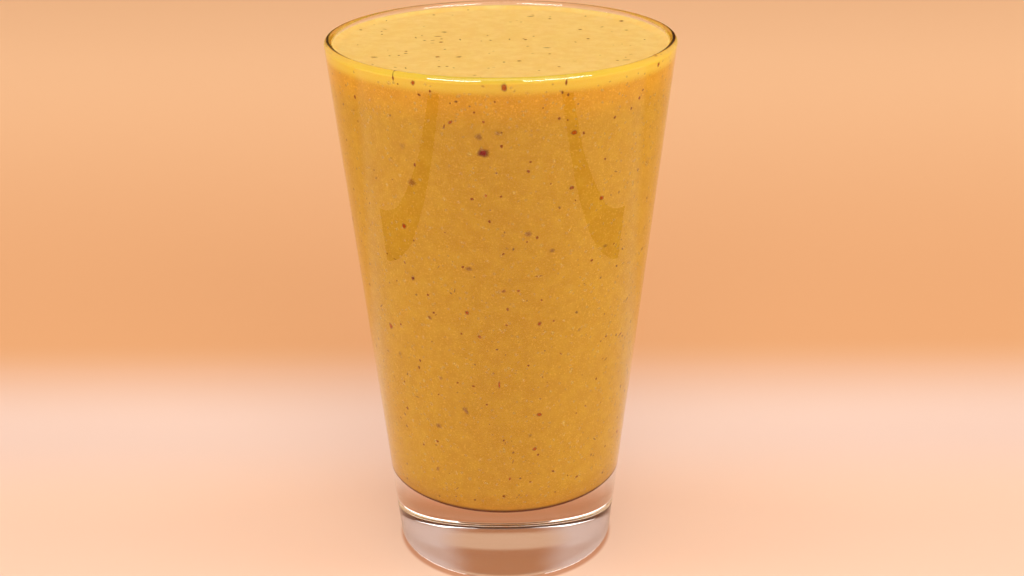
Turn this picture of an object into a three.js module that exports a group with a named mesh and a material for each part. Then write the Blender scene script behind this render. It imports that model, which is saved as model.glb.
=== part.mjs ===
// A tall conical drinking glass with a thick solid base, filled almost to the brim with a
// banana coconut smoothie. Millimetres, +Z up, origin at the centre of the foot.

import * as THREE from "three";

// Driving dimensions of the glass
const glassHeight = 144.3;
const rimRadius = 45.2; // outside, at the lip
const footRadius = 29.75; // outside, where the straight wall would reach the table
const wallAtRim = 2.2; // measured level, from the outside to the cavity
const wallAtFloor = 2.7;
const lipShare = 0.47; // lip radius over the wall at the rim: almost a full half round
const baseThickness = 19.9; // solid glass under the middle of the drink
const floorCornerRadius = 10.8; // inside, between the cavity's floor and its wall
const heelRadius = 2.2; // outside, between the wall and the base's underside
const ringInnerRadius = 22; // the flat ring that stands on the table
const ringOuterRadius = 25;
const footSlope = 6; // degrees that the underside rises from the ring out to the heel
const dimpleDepth = 0.9; // of the shallow hollow under the base

// Driving dimensions of the drink
const fillBelowRim = 2.0; // from the top of the lip down to the level surface
const meniscusRise = 0.9; // how far the drink climbs the wall above its level
const meniscusWidth = 2.6;
const clearance = 0.3; // between the drink and the glass

// Fineness of the turned surfaces
const sidesAround = 80;
const heelSteps = 5;
const lipSteps = 5;
const floorCornerSteps = 9;
const dimpleSteps = 5;
const meniscusSteps = 5;

const wallLean = (rimRadius - footRadius) / glassHeight; // outward run for each unit of height

const glassLook = new THREE.MeshStandardMaterial({
  color: 0xf2f4f3,
  roughness: 0.03,
  metalness: 0,
  transparent: true,
  opacity: 0.3,
});

const smoothieLook = new THREE.MeshStandardMaterial({
  color: 0xdfa046,
  roughness: 0.35,
  metalness: 0,
});

// Half of a section through a turned piece is a list of corners {at, radius, steps}: a corner
// with a radius becomes an arc that meets both of its sides smoothly.
function roundedOutline(corners) {
  const outline = [];
  corners.forEach((corner, i) => {
    if (!corner.radius) {
      outline.push(corner.at);
      return;
    }
    outline.push(...roundedCorner(corners[i - 1].at, corner, corners[i + 1].at));
  });
  return outline;
}

function roundedCorner(before, corner, after) {
  const towardsBefore = before.clone().sub(corner.at).normalize();
  const towardsAfter = after.clone().sub(corner.at).normalize();
  const halfAngle = Math.acos(towardsBefore.dot(towardsAfter)) / 2;
  const bisector = towardsBefore.clone().add(towardsAfter).normalize();
  const centre = corner.at.clone().addScaledVector(bisector, corner.radius / Math.sin(halfAngle));
  const sideLength = corner.radius / Math.tan(halfAngle);
  const start = corner.at.clone().addScaledVector(towardsBefore, sideLength).sub(centre);
  const sweep = Math.PI - 2 * halfAngle;
  const turn = Math.sign(towardsAfter.cross(towardsBefore)) * sweep;
  const points = [];
  for (let step = 0; step <= corner.steps; step += 1) {
    const spoke = start.clone().rotateAround(new THREE.Vector2(), (turn * step) / corner.steps);
    points.push(centre.clone().add(spoke));
  }
  return points;
}

function sharp(radius, height) {
  return { at: new THREE.Vector2(radius, height) };
}

function rounded(radius, height, cornerRadius, steps) {
  return { at: new THREE.Vector2(radius, height), radius: cornerRadius, steps };
}

// The glass's outer radius at a height, and the cavity's, which leans out a little more
function outerRadius(height) {
  return footRadius + wallLean * height;
}

function cavityRadius(height) {
  const share = (height - baseThickness) / (glassHeight - baseThickness);
  const wall = THREE.MathUtils.lerp(wallAtFloor, wallAtRim, share);
  return outerRadius(height) - wall;
}

// The shallow dome under the base, from the axis out to the ring that the glass stands on
function dimpleCorners() {
  const corners = [];
  for (let step = 0; step <= dimpleSteps; step += 1) {
    const share = step / dimpleSteps;
    const rise = dimpleDepth * (1 + Math.cos(Math.PI * share)) / 2;
    corners.push(sharp(ringInnerRadius * share, rise));
  }
  return corners;
}

// Where the underside's slope meets the leaning wall
function heelCorner() {
  const slope = Math.tan(THREE.MathUtils.degToRad(footSlope));
  const height = ((footRadius - ringOuterRadius) * slope) / (1 - wallLean * slope);
  return rounded(outerRadius(height), height, heelRadius, heelSteps);
}

function glassOutline() {
  const lipRadius = wallAtRim * lipShare;
  return roundedOutline([
    ...dimpleCorners(),
    sharp(ringOuterRadius, 0),
    heelCorner(),
    rounded(rimRadius, glassHeight, lipRadius, lipSteps),
    rounded(rimRadius - wallAtRim, glassHeight, lipRadius, lipSteps),
    rounded(cavityRadius(baseThickness), baseThickness, floorCornerRadius, floorCornerSteps),
    sharp(0, baseThickness),
  ]);
}

// The drink follows the cavity at the clearance, and curls up where its surface meets the wall.
function smoothieOutline() {
  const underside = baseThickness + clearance;
  const level = glassHeight - fillBelowRim;
  const touchHeight = level + meniscusRise;
  const touchRadius = cavityRadius(touchHeight) - clearance;
  const surface = [];
  for (let step = 0; step <= meniscusSteps; step += 1) {
    const inward = step / meniscusSteps;
    surface.push(sharp(touchRadius - meniscusWidth * inward, level + meniscusRise * (1 - inward) ** 2));
  }
  return roundedOutline([
    sharp(0, underside),
    rounded(cavityRadius(underside) - clearance, underside, floorCornerRadius - clearance, floorCornerSteps),
    ...surface,
    sharp(0, level),
  ]);
}

// Turns an outline of (radius, height) points about the upright axis.
function turned(name, outline, material) {
  const geometry = new THREE.LatheGeometry(outline, sidesAround);
  geometry.rotateX(Math.PI / 2);
  const piece = new THREE.Mesh(geometry, material);
  piece.name = name;
  return piece;
}

const drinkInGlass = new THREE.Group();
drinkInGlass.add(turned("glass", glassOutline(), glassLook));
drinkInGlass.add(turned("smoothie", smoothieOutline(), smoothieLook));

export default drinkInGlass;
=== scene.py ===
import math
import random

import bpy
from mathutils import Matrix, Vector


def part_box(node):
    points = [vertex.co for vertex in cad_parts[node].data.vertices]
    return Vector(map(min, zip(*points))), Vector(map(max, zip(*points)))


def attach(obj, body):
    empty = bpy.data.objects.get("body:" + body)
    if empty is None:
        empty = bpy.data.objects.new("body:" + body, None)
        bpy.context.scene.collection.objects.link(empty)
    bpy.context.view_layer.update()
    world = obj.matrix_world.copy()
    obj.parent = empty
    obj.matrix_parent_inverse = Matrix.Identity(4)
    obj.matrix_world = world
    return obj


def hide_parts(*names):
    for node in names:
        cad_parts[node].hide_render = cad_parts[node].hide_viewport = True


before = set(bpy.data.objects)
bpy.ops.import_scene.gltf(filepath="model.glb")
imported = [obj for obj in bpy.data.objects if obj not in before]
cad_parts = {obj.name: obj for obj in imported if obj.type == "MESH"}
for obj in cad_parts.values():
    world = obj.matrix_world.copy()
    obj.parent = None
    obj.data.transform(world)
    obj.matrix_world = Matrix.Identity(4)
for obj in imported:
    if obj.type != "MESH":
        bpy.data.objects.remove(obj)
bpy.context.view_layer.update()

# A banana coconut smoothie in a tall conical glass. Lengths in the dictionaries are millimetres,
# heights are from the table, azimuths are degrees round from the side that faces the camera.
mm = 0.001
scene = bpy.context.scene


# Small helpers

def addNode(tree, kind, values=None, **settings):
    node = tree.nodes.new(kind)
    for key, value in settings.items():
        setattr(node, key, value)
    for socket, value in (values or {}).items():
        if isinstance(value, bpy.types.NodeSocket):
            tree.links.new(value, node.inputs[socket])
        else:
            node.inputs[socket].default_value = value
    return node


def blankMaterial(name):
    material = bpy.data.materials.new(name)
    material.use_nodes = True
    material.node_tree.nodes.clear()
    return material, material.node_tree


def colour(red, green, blue):  # 0 to 255 as a screen shows it, to the linear values that nodes use
    def linear(level):
        level /= 255
        return level / 12.92 if level <= 0.04045 else ((level + 0.055) / 1.055) ** 2.4
    return linear(red), linear(green), linear(blue), 1.0


def mixColour(tree, share, first, second, blend="MIX"):
    mix = addNode(tree, "ShaderNodeMix", data_type="RGBA", blend_type=blend)
    for socket, value in ((mix.inputs[0], share), (mix.inputs[6], first), (mix.inputs[7], second)):
        if isinstance(value, bpy.types.NodeSocket):
            tree.links.new(value, socket)
        else:
            socket.default_value = value
    return mix.outputs[2]


def ease(tree, value, start, end):  # 0 below start, 1 above end, smooth between
    ramp = addNode(tree, "ShaderNodeMapRange", {0: value, 1: start, 2: end}, interpolation_type="SMOOTHSTEP")
    return ramp.outputs[0]


def finishPiece(name, verts, faces, materials):
    mesh = bpy.data.meshes.new(name)
    mesh.from_pydata([Vector(v) * mm for v in verts], [], faces)
    mesh.shade_smooth()
    for material in materials:
        mesh.materials.append(material)
    piece = bpy.data.objects.new(name, mesh)
    scene.collection.objects.link(piece)
    return piece


# Half sections: lists of (radius, height) points, with round corners as arcs

def roundCorner(before, corner, after, radius, steps):
    toBefore = (before - corner).normalized()
    toAfter = (after - corner).normalized()
    halfAngle = toBefore.angle(toAfter) / 2
    centre = corner + (toBefore + toAfter).normalized() * radius / math.sin(halfAngle)
    first = corner + toBefore * radius / math.tan(halfAngle) - centre
    sweep = math.copysign(math.pi - 2 * halfAngle, toAfter.cross(toBefore))
    return [centre + Matrix.Rotation(sweep * step / steps, 2) @ first for step in range(steps + 1)]


def roundedOutline(corners):  # corners are (radius, height) or (radius, height, cornerRadius, steps)
    at = [Vector(corner[:2]) for corner in corners]
    outline = []
    for i, corner in enumerate(corners):
        if len(corner) == 2:
            outline.append(at[i])
        else:
            outline += roundCorner(at[i - 1], at[i], at[i + 1], corner[2], corner[3])
    return outline


def turn(outline, sides):  # closed surface from an outline that starts and ends on the axis
    verts = [(0, 0, outline[0].y), (0, 0, outline[-1].y)]
    faces = []
    for radius, height in outline[1:-1]:
        for side in range(sides):
            angle = 2 * math.pi * side / sides
            verts.append((radius * math.sin(angle), -radius * math.cos(angle), height))
    rings = len(outline) - 2
    for side in range(sides):
        after = (side + 1) % sides
        faces.append((0, 2 + after, 2 + side))
        for ring in range(rings - 1):
            low = 2 + ring * sides
            high = low + sides
            faces.append((low + side, low + after, high + after, high + side))
        top = 2 + (rings - 1) * sides
        faces.append((1, top + side, top + after))
    return verts, faces


# Camera at the photograph's place, above the rim and looking down on it
print("camera")
cameraSet = {
    "lens": 54.47,
    "sensor": 36,
    "nearest": 10,
    "aside": 2.4,
    "away": 391.8,
    "up": 232.7,
    "lookDown": 21.99,
    "roll": -0.43,
}


def makeCamera(s):
    data = bpy.data.cameras.new("camera")
    data.lens = s["lens"]
    data.sensor_width = s["sensor"]
    data.clip_start = s["nearest"] * mm
    camera = bpy.data.objects.new("camera", data)
    tilt = Matrix.Rotation(math.radians(90 - s["lookDown"]), 4, "X")
    roll = Matrix.Rotation(math.radians(s["roll"]), 4, "Z")
    camera.matrix_world = Matrix.Translation(Vector((s["aside"], -s["away"], s["up"])) * mm) @ tilt @ roll
    scene.collection.objects.link(camera)
    scene.camera = camera


makeCamera(cameraSet)


# Glass: lip, leaning wall, solid base, heel, foot ring and the hollow under the base
print("glass")
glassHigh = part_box("glass")[1] / mm
glassSet = {
    "rimRadius": 45.2,
    "footRadius": 29.75,
    "wallAtRim": 2.2,
    "wallAtFloor": 2.7,
    "baseThickness": 19.9,
    "floorCorner": 10.8,
    "heel": 2.2,
    "ringInner": 22,
    "ringOuter": 25,
    "footSlope": 6,
    "dimple": 0.9,
    "lipShare": 0.47,
    "ior": 1.51,
    "tint": (0.985, 0.99, 0.985, 1),
    "sides": 192,
    "dimpleSteps": 12,
    "heelSteps": 20,
    "lipSteps": 14,
    "cornerSteps": 20,
}


def outerRadius(height):
    s = glassSet
    return s["footRadius"] + (s["rimRadius"] - s["footRadius"]) * height / glassHigh.z


def cavityRadius(height):
    s = glassSet
    share = (height - s["baseThickness"]) / (glassHigh.z - s["baseThickness"])
    return outerRadius(height) - s["wallAtFloor"] - (s["wallAtRim"] - s["wallAtFloor"]) * share


def glassOutline(s):
    lip = s["wallAtRim"] * s["lipShare"]
    dimple = []
    for step in range(s["dimpleSteps"] + 1):
        share = step / s["dimpleSteps"]
        dimple.append((s["ringInner"] * share, s["dimple"] * (1 + math.cos(math.pi * share)) / 2))
    slope = math.tan(math.radians(s["footSlope"]))
    lean = (s["rimRadius"] - s["footRadius"]) / glassHigh.z
    heelHeight = (s["footRadius"] - s["ringOuter"]) * slope / (1 - lean * slope)
    return roundedOutline([
        *dimple,
        (s["ringOuter"], 0),
        (outerRadius(heelHeight), heelHeight, s["heel"], s["heelSteps"]),
        (s["rimRadius"], glassHigh.z, lip, s["lipSteps"]),
        (s["rimRadius"] - s["wallAtRim"], glassHigh.z, lip, s["lipSteps"]),
        (cavityRadius(s["baseThickness"]), s["baseThickness"], s["floorCorner"], s["cornerSteps"]),
        (0, s["baseThickness"]),
    ])


def glassMaterial(s):
    material, tree = blankMaterial("clearGlass")
    glass = addNode(tree, "ShaderNodeBsdfGlass", {"Color": s["tint"], "Roughness": 0, "IOR": s["ior"]})
    clear = addNode(tree, "ShaderNodeBsdfTransparent", {"Color": s["tint"]})
    path = addNode(tree, "ShaderNodeLightPath")
    soft = addNode(tree, "ShaderNodeMixShader", {
        0: path.outputs["Is Diffuse Ray"], 1: glass.outputs[0], 2: clear.outputs[0]})
    lit = addNode(tree, "ShaderNodeMixShader", {
        0: path.outputs["Is Shadow Ray"], 1: soft.outputs[0], 2: clear.outputs[0]})
    addNode(tree, "ShaderNodeOutputMaterial", {"Surface": lit.outputs[0]})
    return material


glass = finishPiece("glassBody", *turn(glassOutline(glassSet), glassSet["sides"]), [glassMaterial(glassSet)])
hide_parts("glass")
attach(glass, "root")


# Drink: reaches just into the wall, and its top curls up where it meets the glass
print("drink")
drinkLow, drinkHigh = (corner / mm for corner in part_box("smoothie"))
drinkSet = {
    "intoWall": 0.1,
    "meniscusRise": 0.9,
    "meniscusWidth": 2.6,
    "cornerSteps": 20,
    "sideRings": (45, 70, 95, 120, 138, 142.5),  # heights, so that light falls evenly on the long side
    "meniscusSteps": 10,
    "topRings": 30,
    "side": colour(190, 148, 36),
    "sideShade": colour(183, 139, 30),
    "sidePale": colour(206, 164, 54),
    # Painted shade: the side darkens over its lowest part, where the drink's underside gets little light.
    "foot": colour(92, 44, 14),
    "footDepth": 2.5,
    "footFull": 0.45,  # share of the depth where the colour is at its full strength
    # Painted light: a lighter band just under the drink's edge, where light gets in from the top.
    "brim": colour(221, 189, 66),
    "brimDepth": 4.0,
    "brimFull": 0.4,
    # Painted light: the upper part of the side is tinted lighter and warmer.
    "upperGlowTint": (1.22, 1.1, 0.85, 1),
    "upperGlowDepth": 13,
    "top": colour(230, 197, 111),
    "topShade": colour(224, 186, 95),
    "cloudScale": 320,
    "grainScale": 2100,
    "waveScale": 420,
    "sideRoughness": 0.8,
    "topRoughness": 0.42,
    "sideBleed": 0.3,  # share of the light that soaks in and comes out again beside
    "topBleed": 0.5,
    "bleedRadius": (1.0, 0.6, 0.25),
    "bleedReach": 2,
}
drinkLevel = drinkHigh.z - drinkSet["meniscusRise"]


def drinkRadius(height):
    return cavityRadius(height) + drinkSet["intoWall"]


def surfaceHeight(radius):
    s = drinkSet
    inward = min(1, (drinkRadius(drinkHigh.z) - radius) / s["meniscusWidth"])
    return drinkLevel + s["meniscusRise"] * (1 - inward) ** 2


def drinkOutline(s):
    underside = glassSet["baseThickness"] - s["intoWall"]
    edge = drinkRadius(drinkHigh.z)
    steps = s["meniscusSteps"]
    top = [edge - s["meniscusWidth"] * step / steps for step in range(steps + 1)]
    rings = s["topRings"]
    top += [top[-1] * (1 - ring / rings) for ring in range(1, rings + 1)]
    return roundedOutline([
        (0, underside),
        (drinkRadius(underside), underside, glassSet["floorCorner"], s["cornerSteps"]),
        *[(drinkRadius(height), height) for height in s["sideRings"]],
        *[(radius, surfaceHeight(radius)) for radius in top],
    ])


def drinkColour(tree, pale, main, shade):  # soft clouds of two tones, with a fine pale grain
    place = addNode(tree, "ShaderNodeTexCoord").outputs["Object"]
    cloud = addNode(tree, "ShaderNodeTexNoise", {
        "Vector": place, "Scale": drinkSet["cloudScale"], "Detail": 3, "Roughness": 0.6})
    grain = addNode(tree, "ShaderNodeTexNoise", {
        "Vector": place, "Scale": drinkSet["grainScale"], "Detail": 2, "Roughness": 0.7})
    toned = mixColour(tree, ease(tree, cloud.outputs[0], 0.35, 0.7), shade, main)
    return mixColour(tree, ease(tree, grain.outputs[0], 0.52, 0.72), toned, pale)


def sideMaterial(s):
    material, tree = blankMaterial("smoothieSide")
    body = drinkColour(tree, s["sidePale"], s["side"], s["sideShade"])
    place = addNode(tree, "ShaderNodeTexCoord").outputs["Object"]
    height = addNode(tree, "ShaderNodeSeparateXYZ", {0: place}).outputs["Z"]
    # Painted light: a lighter band just under the edge.
    brimStart = drinkHigh.z - s["brimDepth"]
    brimEnd = drinkHigh.z - s["brimDepth"] * s["brimFull"]
    # Painted shade: darker over the lowest part of the side.
    footStart = drinkLow.z + s["footDepth"]
    footEnd = drinkLow.z + s["footDepth"] * s["footFull"]
    brim = ease(tree, height, brimStart * mm, brimEnd * mm)
    foot = ease(tree, height, footStart * mm, footEnd * mm)
    # Painted light: the upper part tinted lighter and warmer.
    upper = ease(tree, height, (drinkHigh.z - s["upperGlowDepth"]) * mm, brimStart * mm)
    warmGlow = mixColour(tree, upper, body, mixColour(tree, 1.0, body, s["upperGlowTint"], "MULTIPLY"))
    lit = mixColour(tree, foot, mixColour(tree, brim, warmGlow, s["brim"]), s["foot"])
    shader = addNode(tree, "ShaderNodeBsdfPrincipled", {
        "Base Color": lit,
        "Roughness": s["sideRoughness"],
        "Specular IOR Level": 0,
        "Subsurface Weight": s["sideBleed"],
        "Subsurface Radius": s["bleedRadius"],
        "Subsurface Scale": s["bleedReach"] * mm,
    })
    addNode(tree, "ShaderNodeOutputMaterial", {"Surface": shader.outputs[0]})
    return material


def topMaterial(s):
    material, tree = blankMaterial("smoothieTop")
    place = addNode(tree, "ShaderNodeTexCoord").outputs["Object"]
    wave = addNode(tree, "ShaderNodeTexNoise", {
        "Vector": place, "Scale": s["waveScale"], "Detail": 4, "Roughness": 0.6})
    bump = addNode(tree, "ShaderNodeBump", {"Height": wave.outputs[0], "Strength": 0.3, "Distance": 0.0004})
    shader = addNode(tree, "ShaderNodeBsdfPrincipled", {
        "Base Color": drinkColour(tree, s["top"], s["top"], s["topShade"]),
        "Roughness": s["topRoughness"],
        "Specular IOR Level": 0.5,
        "Subsurface Weight": s["topBleed"],
        "Subsurface Radius": s["bleedRadius"],
        "Subsurface Scale": s["bleedReach"] * mm,
        "Normal": bump.outputs[0],
    })
    addNode(tree, "ShaderNodeOutputMaterial", {"Surface": shader.outputs[0]})
    return material


def makeDrink(s):
    verts, faces = turn(drinkOutline(s), glassSet["sides"])
    drink = finishPiece("smoothieBody", verts, faces, [sideMaterial(s), topMaterial(s)])
    for face in drink.data.polygons:  # faces at the level that look up are the top, and the rest the side
        face.material_index = int(face.center.z > (drinkLevel - 0.2) * mm and face.normal.z > 0.1)
    return drink


drink = makeDrink(drinkSet)
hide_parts("smoothie")
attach(drink, "root")


# Bits in the drink: soft-edged patches on its surface, one piece for each kind. The noted ones are
# where the photograph shows them, as (azimuth, height, width, tallness) on the side and
# (x, y, width, length) on top, and the rest are scattered all over from the seed.
print("bits in the drink")
bitSet = {
    "seed": 11,
    "proud": 0.03,  # above the drink's surface, and on the side still inside the glass's wall
    "corners": 10,  # round each bit
    "ragged": (0.75, 1.15),  # least and most reach of a corner, as a share of the size
    "lowest": 24,
    "underBrim": 1,
    "insideEdge": 1.5,
    "cloudScale": 1500,
}
bitKinds = {
    "spiceSpecks": {
        "tones": (colour(130, 58, 0), colour(152, 84, 2)),
        "strength": (0.5, 1.0),
        "core": 0.55,
        "size": (0.5, 1.2),
        "stretch": (1.0, 1.7),
        "onSide": 330,
        "onTop": 44,
        "notedOnSide": [
            (-54.8, 135.1, 1.1, 1.3), (-22.1, 140.4, 0.7, 0.8), (-15.7, 137.8, 0.6, 0.6),
            (-8.2, 135.8, 0.6, 0.6), (-5.3, 133.5, 0.8, 0.8), (0.3, 127.4, 1.0, 1.0),
            (-30.0, 121.1, 0.9, 1.2), (9.7, 123.2, 0.9, 0.7), (24.5, 115.5, 1.4, 1.3),
            (-10.0, 113.7, 1.3, 0.9), (-4.2, 107.9, 0.8, 1.0), (35.4, 94.6, 1.1, 0.8),
            (-29.7, 86.1, 0.8, 0.9), (-16.5, 76.4, 0.8, 0.8), (10.4, 67.5, 0.8, 0.7),
            (-19.6, 61.9, 0.7, 0.8), (-7.2, 56.1, 0.7, 0.7), (-0.3, 27.6, 0.9, 0.9),
            (20.6, 142.4, 0.7, 1.6), (-35.1, 142.4, 0.7, 1.5), (15.0, 85.9, 0.7, 0.7),
            (20.3, 79.6, 0.7, 0.7), (43.9, 59.1, 0.8, 0.8),
        ],
        "notedOnTop": [
            (-37.3, 16.1, 1.0, 1.0), (-15.4, 4.8, 0.8, 0.8), (28.6, -20.0, 1.0, 0.7),
            (12.2, -12.7, 0.8, 0.8), (-14.8, -25.0, 0.9, 0.8), (4.6, -19.8, 1.4, 0.9),
        ],
    },
    "berrySkin": {
        "tones": (colour(110, 0, 0), colour(130, 8, 0)),
        "strength": (0.85, 1.0),
        "core": 0.3,
        "size": (1.2, 2.2),
        "stretch": (1.1, 1.6),
        "onSide": 5,
        "onTop": 1,
        "notedOnSide": [(-5.9, 125.7, 3.6, 2.9)],
        "notedOnTop": [],
    },
    "redBits": {
        "tones": (colour(160, 68, 0), colour(176, 94, 4)),
        "strength": (0.4, 0.92),
        "core": 0.42,
        "size": (0.8, 1.9),
        "stretch": (1.0, 1.6),
        "onSide": 46,
        "onTop": 6,
        "notedOnSide": [
            (1.2, 141.9, 2.0, 2.6), (24.2, 129.6, 2.0, 1.6), (37.2, 111.2, 1.6, 1.5),
            (15.8, 52.4, 1.7, 1.6), (14.1, 42.0, 1.6, 1.3), (-37.5, 104.0, 1.7, 1.8),
            (60.5, 141.8, 1.4, 1.6), (-27.8, 142.0, 1.3, 1.5), (-1.7, 62.0, 0.8, 2.9),
            (-52.6, 73.2, 2.0, 2.4), (69.1, 36.9, 1.5, 1.3),
        ],
        "notedOnTop": [(14.1, -25.9, 1.1, 0.8)],
    },
    "mauveBits": {
        "tones": (colour(148, 84, 22), colour(164, 102, 30)),
        "strength": (0.25, 0.52),
        "core": 0.3,
        "size": (1.4, 3.0),
        "stretch": (1.0, 1.8),
        "onSide": 60,
        "onTop": 5,
        "notedOnSide": [
            (-31.8, 116.3, 3.0, 2.6), (9.4, 104.4, 2.4, 1.9), (18.5, 99.3, 2.0, 1.7),
            (-12.2, 94.9, 2.4, 1.8), (-17.1, 54.1, 2.2, 2.2), (-30.8, 47.5, 2.4, 2.0),
            (-6.9, 129.7, 2.6, 2.4), (-27.2, 62.4, 1.5, 1.6),
        ],
        "notedOnTop": [],
    },
    "fibres": {
        "tones": (colour(130, 62, 2), colour(150, 80, 6)),
        "strength": (0.5, 0.9),
        "core": 0.6,
        "size": (0.9, 2.0),
        "stretch": (3.0, 5.0),
        "onSide": 46,
        "onTop": 26,
        "notedOnSide": [(13.5, 92.7, 2.4, 0.4)],
        "notedOnTop": [(-16.4, 7.7, 2.4, 0.6), (30.9, -19.6, 2.6, 0.6)],
    },
    "coconutGrains": {
        "tones": (colour(240, 206, 92), colour(233, 188, 74)),
        "strength": (0.2, 0.66),
        "core": 0.2,
        "size": (0.7, 1.4),
        "stretch": (1.0, 1.5),
        "onSide": 3200,
        "onTop": 0,
        "notedOnSide": [],
        "notedOnTop": [],
    },
}
sideCorners = drinkSet["cornerSteps"] + len(drinkSet["sideRings"]) + 2  # the last is the drink's upper edge
drinkSide = drinkOutline(drinkSet)[1:sideCorners + 1]


def skinRadius(height):  # the drink's own outline, from its rounded floor up to its edge
    height = min(height, drinkSide[-1].y)
    for lower, upper in zip(drinkSide, drinkSide[1:]):
        if height <= upper.y:
            return lower.x + (upper.x - lower.x) * (height - lower.y) / (upper.y - lower.y)


def sidePlace(azimuth, height):
    def place(across, up):
        radius = skinRadius(height + up) + bitSet["proud"]
        angle = azimuth + across / radius
        return radius * math.sin(angle), -radius * math.cos(angle), min(height + up, drinkHigh.z)
    return place


def topPlace(x, y):
    def place(across, along):
        level = surfaceHeight(math.hypot(x + across, y + along))
        return x + across, y + along, level + bitSet["proud"]
    return place


def addBit(patches, place, wide, tall, tilt, strength, core, chance):
    verts, faces, strengths = patches
    start = len(verts)
    corners = bitSet["corners"]
    reaches = [chance.uniform(*bitSet["ragged"]) / 2 for corner in range(corners)]
    verts.append(place(0, 0))
    strengths.append(strength)
    for share, level in ((core, strength), (1, 0)):
        for corner, reach in enumerate(reaches):
            angle = 2 * math.pi * corner / corners
            across = wide * reach * share * math.cos(angle)
            along = tall * reach * share * math.sin(angle)
            verts.append(place(
                across * math.cos(tilt) - along * math.sin(tilt),
                across * math.sin(tilt) + along * math.cos(tilt),
            ))
            strengths.append(level)
    inner, outer = start + 1, start + 1 + corners
    for corner in range(corners):
        after = (corner + 1) % corners
        faces.append((start, inner + corner, inner + after))
        faces.append((inner + corner, outer + corner, outer + after, inner + after))


def bitMaterial(name, s):
    material, tree = blankMaterial(name)
    place = addNode(tree, "ShaderNodeTexCoord").outputs["Object"]
    cloud = addNode(tree, "ShaderNodeTexNoise", {"Vector": place, "Scale": bitSet["cloudScale"], "Detail": 2})
    tone = mixColour(tree, ease(tree, cloud.outputs[0], 0.4, 0.65), *s["tones"])
    body = addNode(tree, "ShaderNodeBsdfPrincipled", {
        "Base Color": tone, "Roughness": 0.7, "Specular IOR Level": 0})
    clear = addNode(tree, "ShaderNodeBsdfTransparent")
    strength = addNode(tree, "ShaderNodeAttribute", attribute_name="strength").outputs["Fac"]
    soft = addNode(tree, "ShaderNodeMixShader", {0: strength, 1: clear.outputs[0], 2: body.outputs[0]})
    addNode(tree, "ShaderNodeOutputMaterial", {"Surface": soft.outputs[0]})
    return material


def makeBits(name, s, chance):
    patches = [], [], []
    lightest, strongest = s["strength"]
    for azimuth, height, wide, tall in s["notedOnSide"]:
        addBit(patches, sidePlace(math.radians(azimuth), height), wide, tall, 0, strongest, s["core"], chance)
    for x, y, wide, tall in s["notedOnTop"]:
        addBit(patches, topPlace(x, y), wide, tall, 0, strongest, s["core"], chance)
    for i in range(s["onSide"] + s["onTop"]):
        angle = chance.uniform(-math.pi, math.pi)
        if i < s["onSide"]:
            place = sidePlace(angle, chance.uniform(bitSet["lowest"], drinkHigh.z - bitSet["underBrim"]))
        else:
            widest = drinkRadius(drinkHigh.z) - bitSet["insideEdge"]
            radius = widest * math.sqrt(chance.random())
            place = topPlace(radius * math.sin(angle), radius * math.cos(angle))
        wide = chance.uniform(*s["size"])
        tall = wide / chance.uniform(*s["stretch"])
        tilt = chance.uniform(0, math.pi)
        addBit(patches, place, wide, tall, tilt, chance.uniform(lightest, strongest), s["core"], chance)
    verts, faces, strengths = patches
    piece = finishPiece(name, verts, faces, [bitMaterial(name, s)])
    piece.data.attributes.new("strength", "FLOAT", "POINT").data.foreach_set("value", strengths)
    return piece


chance = random.Random(bitSet["seed"])
for name, settings in bitKinds.items():
    bits = makeBits(name, settings, chance)
    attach(bits, "root")


# Floor: pale near the glass, a deeper peach further back. A span is where one tone passes into the next.
print("stage and light")
stageSet = {
    "reach": 4000,
    "under": 0.15,  # so that the floor and the foot never touch
    "near": colour(244, 209, 183),
    "fold": colour(232, 205, 189),
    "foldSpan": (10, 60),
    "far": colour(220, 166, 118),
    "farSpan": (65, 135),
    "farthest": colour(242, 197, 152),
    "farthestSpan": (130, 600),
    # Painted contact shadow: a darker thin ring on the floor round the glass's foot.
    "contactShadow": colour(206, 150, 116),
    "contactShadowRadius": 29.4,
    "contactShadowWidth": 1.3,
    "shadow": colour(206, 142, 98),
    "shadowBehind": 42,
    "shadowRadius": 34,
}


def makeFloor(s):
    reach = s["reach"]
    corners = [
        (aside, back, -s["under"])
        for aside, back in ((-reach, -reach), (reach, -reach), (reach, reach), (-reach, reach))
    ]
    material, tree = blankMaterial("peachPaper")
    place = addNode(tree, "ShaderNodeTexCoord").outputs["Object"]
    back = addNode(tree, "ShaderNodeSeparateXYZ", {0: place}).outputs["Y"]
    tone = s["near"]
    for name in ("fold", "far", "farthest"):
        start, end = s[name + "Span"]
        tone = mixColour(tree, ease(tree, back, start * mm, end * mm), tone, s[name])
    radius = addNode(tree, "ShaderNodeVectorMath", {0: place}, operation="LENGTH").outputs["Value"]
    # Painted contact shadow, a darker ring round the foot.
    edge = s["contactShadowRadius"] * mm
    tone = mixColour(tree, ease(tree, radius, edge, edge + s["contactShadowWidth"] * mm), s["contactShadow"], tone)
    centre = (0, s["shadowBehind"] * mm, 0)
    apart = addNode(tree, "ShaderNodeVectorMath", {0: place, 1: centre}, operation="DISTANCE")
    tone = mixColour(tree, ease(tree, apart.outputs["Value"], 0, s["shadowRadius"] * mm), s["shadow"], tone)
    shader = addNode(tree, "ShaderNodeBsdfDiffuse", {"Color": tone})
    addNode(tree, "ShaderNodeOutputMaterial", {"Surface": shader.outputs[0]})
    floor = finishPiece("floor", corners, [(0, 1, 2, 3)], [material])


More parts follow.
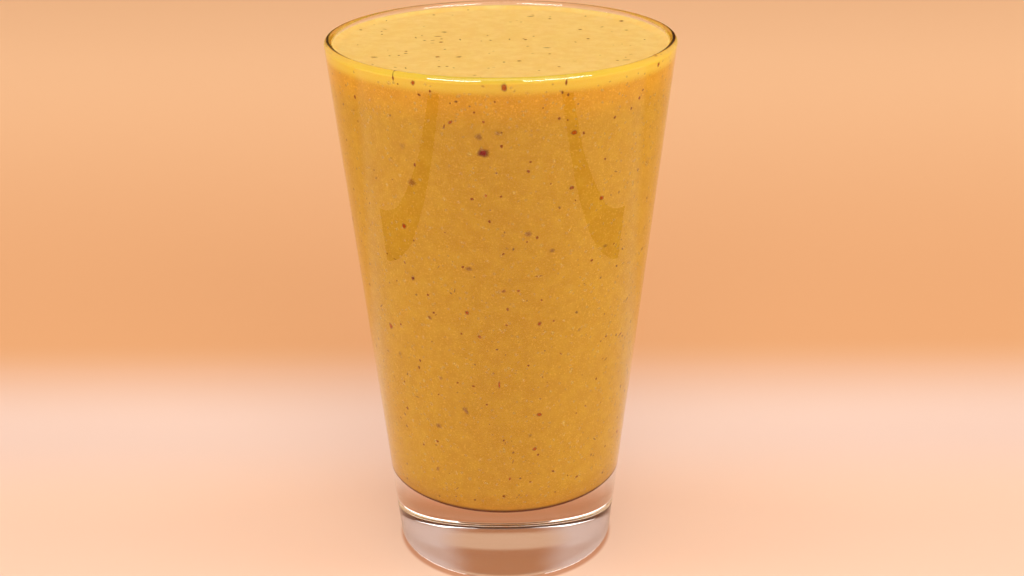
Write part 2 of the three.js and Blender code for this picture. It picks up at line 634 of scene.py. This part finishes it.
# The room: brown paper straight behind the glass, darkened low and high by a painted shadow of the glass,
# and pale walls behind it to either side. The spans are degrees, up from the horizon or, in the last two,
# round from straight behind.
worldSet = {
    # Painted shadow: the dark browns low and high straight behind stand for the glass's shadow on the wall
    # behind.
    "shadowedBehindLow": colour(120, 75, 45),
    "behindMiddle": colour(216, 165, 131),
    "shadowedBehindHigh": colour(180, 115, 77),
    "asideMiddle": colour(220, 184, 170),
    "asideHigh": colour(208, 165, 147),
    "high": colour(112, 104, 98),
    "roomLow": colour(172, 142, 120),
    "roomHigh": colour(200, 184, 170),
    "behindMiddleSpan": (12, 17),
    "behindHighSpan": (26, 34),
    "asideHighSpan": (32, 38),
    "roomHighSpan": (5, 55),
    "highSpan": (48, 60),
    "asideSpan": (12, 32),
    "roomSpan": (70, 105),
}


def makeWorld(s):
    world = bpy.data.worlds.new("studio")
    world.use_nodes = True
    tree = world.node_tree
    tree.nodes.clear()
    place = addNode(tree, "ShaderNodeTexCoord").outputs["Generated"]
    way = addNode(tree, "ShaderNodeSeparateXYZ", {0: place})
    aside = addNode(tree, "ShaderNodeMath", {0: way.outputs["X"]}, operation="ABSOLUTE").outputs[0]
    turned = addNode(tree, "ShaderNodeMath", {0: aside, 1: way.outputs["Y"]}, operation="ARCTAN2").outputs[0]
    raised = addNode(tree, "ShaderNodeMath", {0: way.outputs["Z"]}, operation="ARCSINE").outputs[0]

    def blend(value, span, first, second):
        start, end = (math.radians(angle) for angle in s[span])
        return mixColour(tree, ease(tree, value, start, end), first, second)

    # Painted shadow of the glass, low and high straight behind.
    behind = blend(raised, "behindMiddleSpan", s["shadowedBehindLow"], s["behindMiddle"])
    behind = blend(raised, "behindHighSpan", behind, s["shadowedBehindHigh"])
    beside = blend(raised, "asideHighSpan", s["asideMiddle"], s["asideHigh"])
    room = blend(raised, "roomHighSpan", s["roomLow"], s["roomHigh"])
    sky = blend(turned, "asideSpan", behind, beside)
    sky = blend(raised, "highSpan", sky, s["high"])
    sky = blend(turned, "roomSpan", sky, room)
    back = addNode(tree, "ShaderNodeBackground", {"Color": sky, "Strength": 1})
    addNode(tree, "ShaderNodeOutputWorld", {"Surface": back.outputs[0]})
    scene.world = world


# Softboxes: azimuth, elevation, distance, width, height, power and role. A lamp shines and is
# mirrored, a fill only shines, a glint is only mirrored, and one behind is only seen through glass.
softboxes = {
    "leftWindow": (-31, 34, 900, 450, 300, 10.0, "glint"),
    "rightWindow": (38, 34, 900, 620, 240, 12.0, "glint"),
    "ceiling": (0, 78, 1100, 900, 900, 3.9, "lamp"),
    "frontFill": (8, 34, 1800, 1800, 600, 11.5, "fill"),
    "leftFill": (-90, 24, 1800, 1000, 1400, 15.6, "fill"),
    "rightFill": (90, 24, 1800, 1000, 1400, 16.0, "fill"),
    "backLeft": (-146, 8, 1500, 1000, 460, 2.4, "behind"),
    "backRight": (146, 8, 1500, 1000, 460, 2.4, "behind"),
    "highLeft": (-129, 53, 1500, 740, 660, 3.8, "behind"),
    "highRight": (129, 53, 1500, 740, 660, 3.8, "behind"),
}


def makeSoftbox(name, azimuth, elevation, away, wide, tall, power, role):
    data = bpy.data.lights.new(name, "AREA")
    data.shape = "RECTANGLE"
    data.size = wide * mm
    data.size_y = tall * mm
    data.energy = power
    light = bpy.data.objects.new(name, data)
    turned, raised = math.radians(azimuth), math.radians(elevation)
    outward = Vector((
        math.sin(turned) * math.cos(raised),
        -math.cos(turned) * math.cos(raised),
        math.sin(raised),
    ))
    light.location = outward * away * mm
    light.rotation_euler = outward.to_track_quat("Z", "Y").to_euler()
    light.visible_camera = False
    light.visible_diffuse = role in ("lamp", "fill")
    light.visible_glossy = role in ("lamp", "glint")
    light.visible_transmission = role in ("lamp", "behind")
    scene.collection.objects.link(light)


# Two dark strips on the floor, left and right in front, that only show mirrored in the glass's wall.
# Their corners are (aside, back), the same to either side.
stripSet = {
    "corners": [
        (228, -295), (265, -262), (248, -180), (246, -60),
        (256, 25), (206, 12), (200, -90), (207, -180),
    ],
    "over": 0.1,
    "colour": colour(100, 62, 112),
}


def makeStrip(name, s, mirrored):
    material, tree = blankMaterial(name)
    shader = addNode(tree, "ShaderNodeBsdfDiffuse", {"Color": s["colour"]})
    addNode(tree, "ShaderNodeOutputMaterial", {"Surface": shader.outputs[0]})
    corners = [(aside * mirrored, back, s["over"]) for aside, back in s["corners"]]
    strip = finishPiece(name, corners, [range(len(corners))], [material])
    for ray in ("camera", "diffuse", "shadow", "transmission"):
        setattr(strip, "visible_" + ray, False)


makeFloor(stageSet)
makeStrip("leftStrip", stripSet, -1)
makeStrip("rightStrip", stripSet, 1)
makeWorld(worldSet)
for name, settings in softboxes.items():
    makeSoftbox(name, *settings)

# Light passes through many walls of glass, and through the bits' clear edges, before it ends
pathSet = {"bounces": 32, "clearLayers": 24}
scene.view_settings.view_transform = "Standard"
scene.cycles.use_denoising = True
scene.cycles.caustics_reflective = False
scene.cycles.caustics_refractive = False
scene.cycles.max_bounces = pathSet["bounces"]
scene.cycles.transmission_bounces = pathSet["bounces"]
scene.cycles.glossy_bounces = pathSet["bounces"]
scene.cycles.transparent_max_bounces = pathSet["clearLayers"]
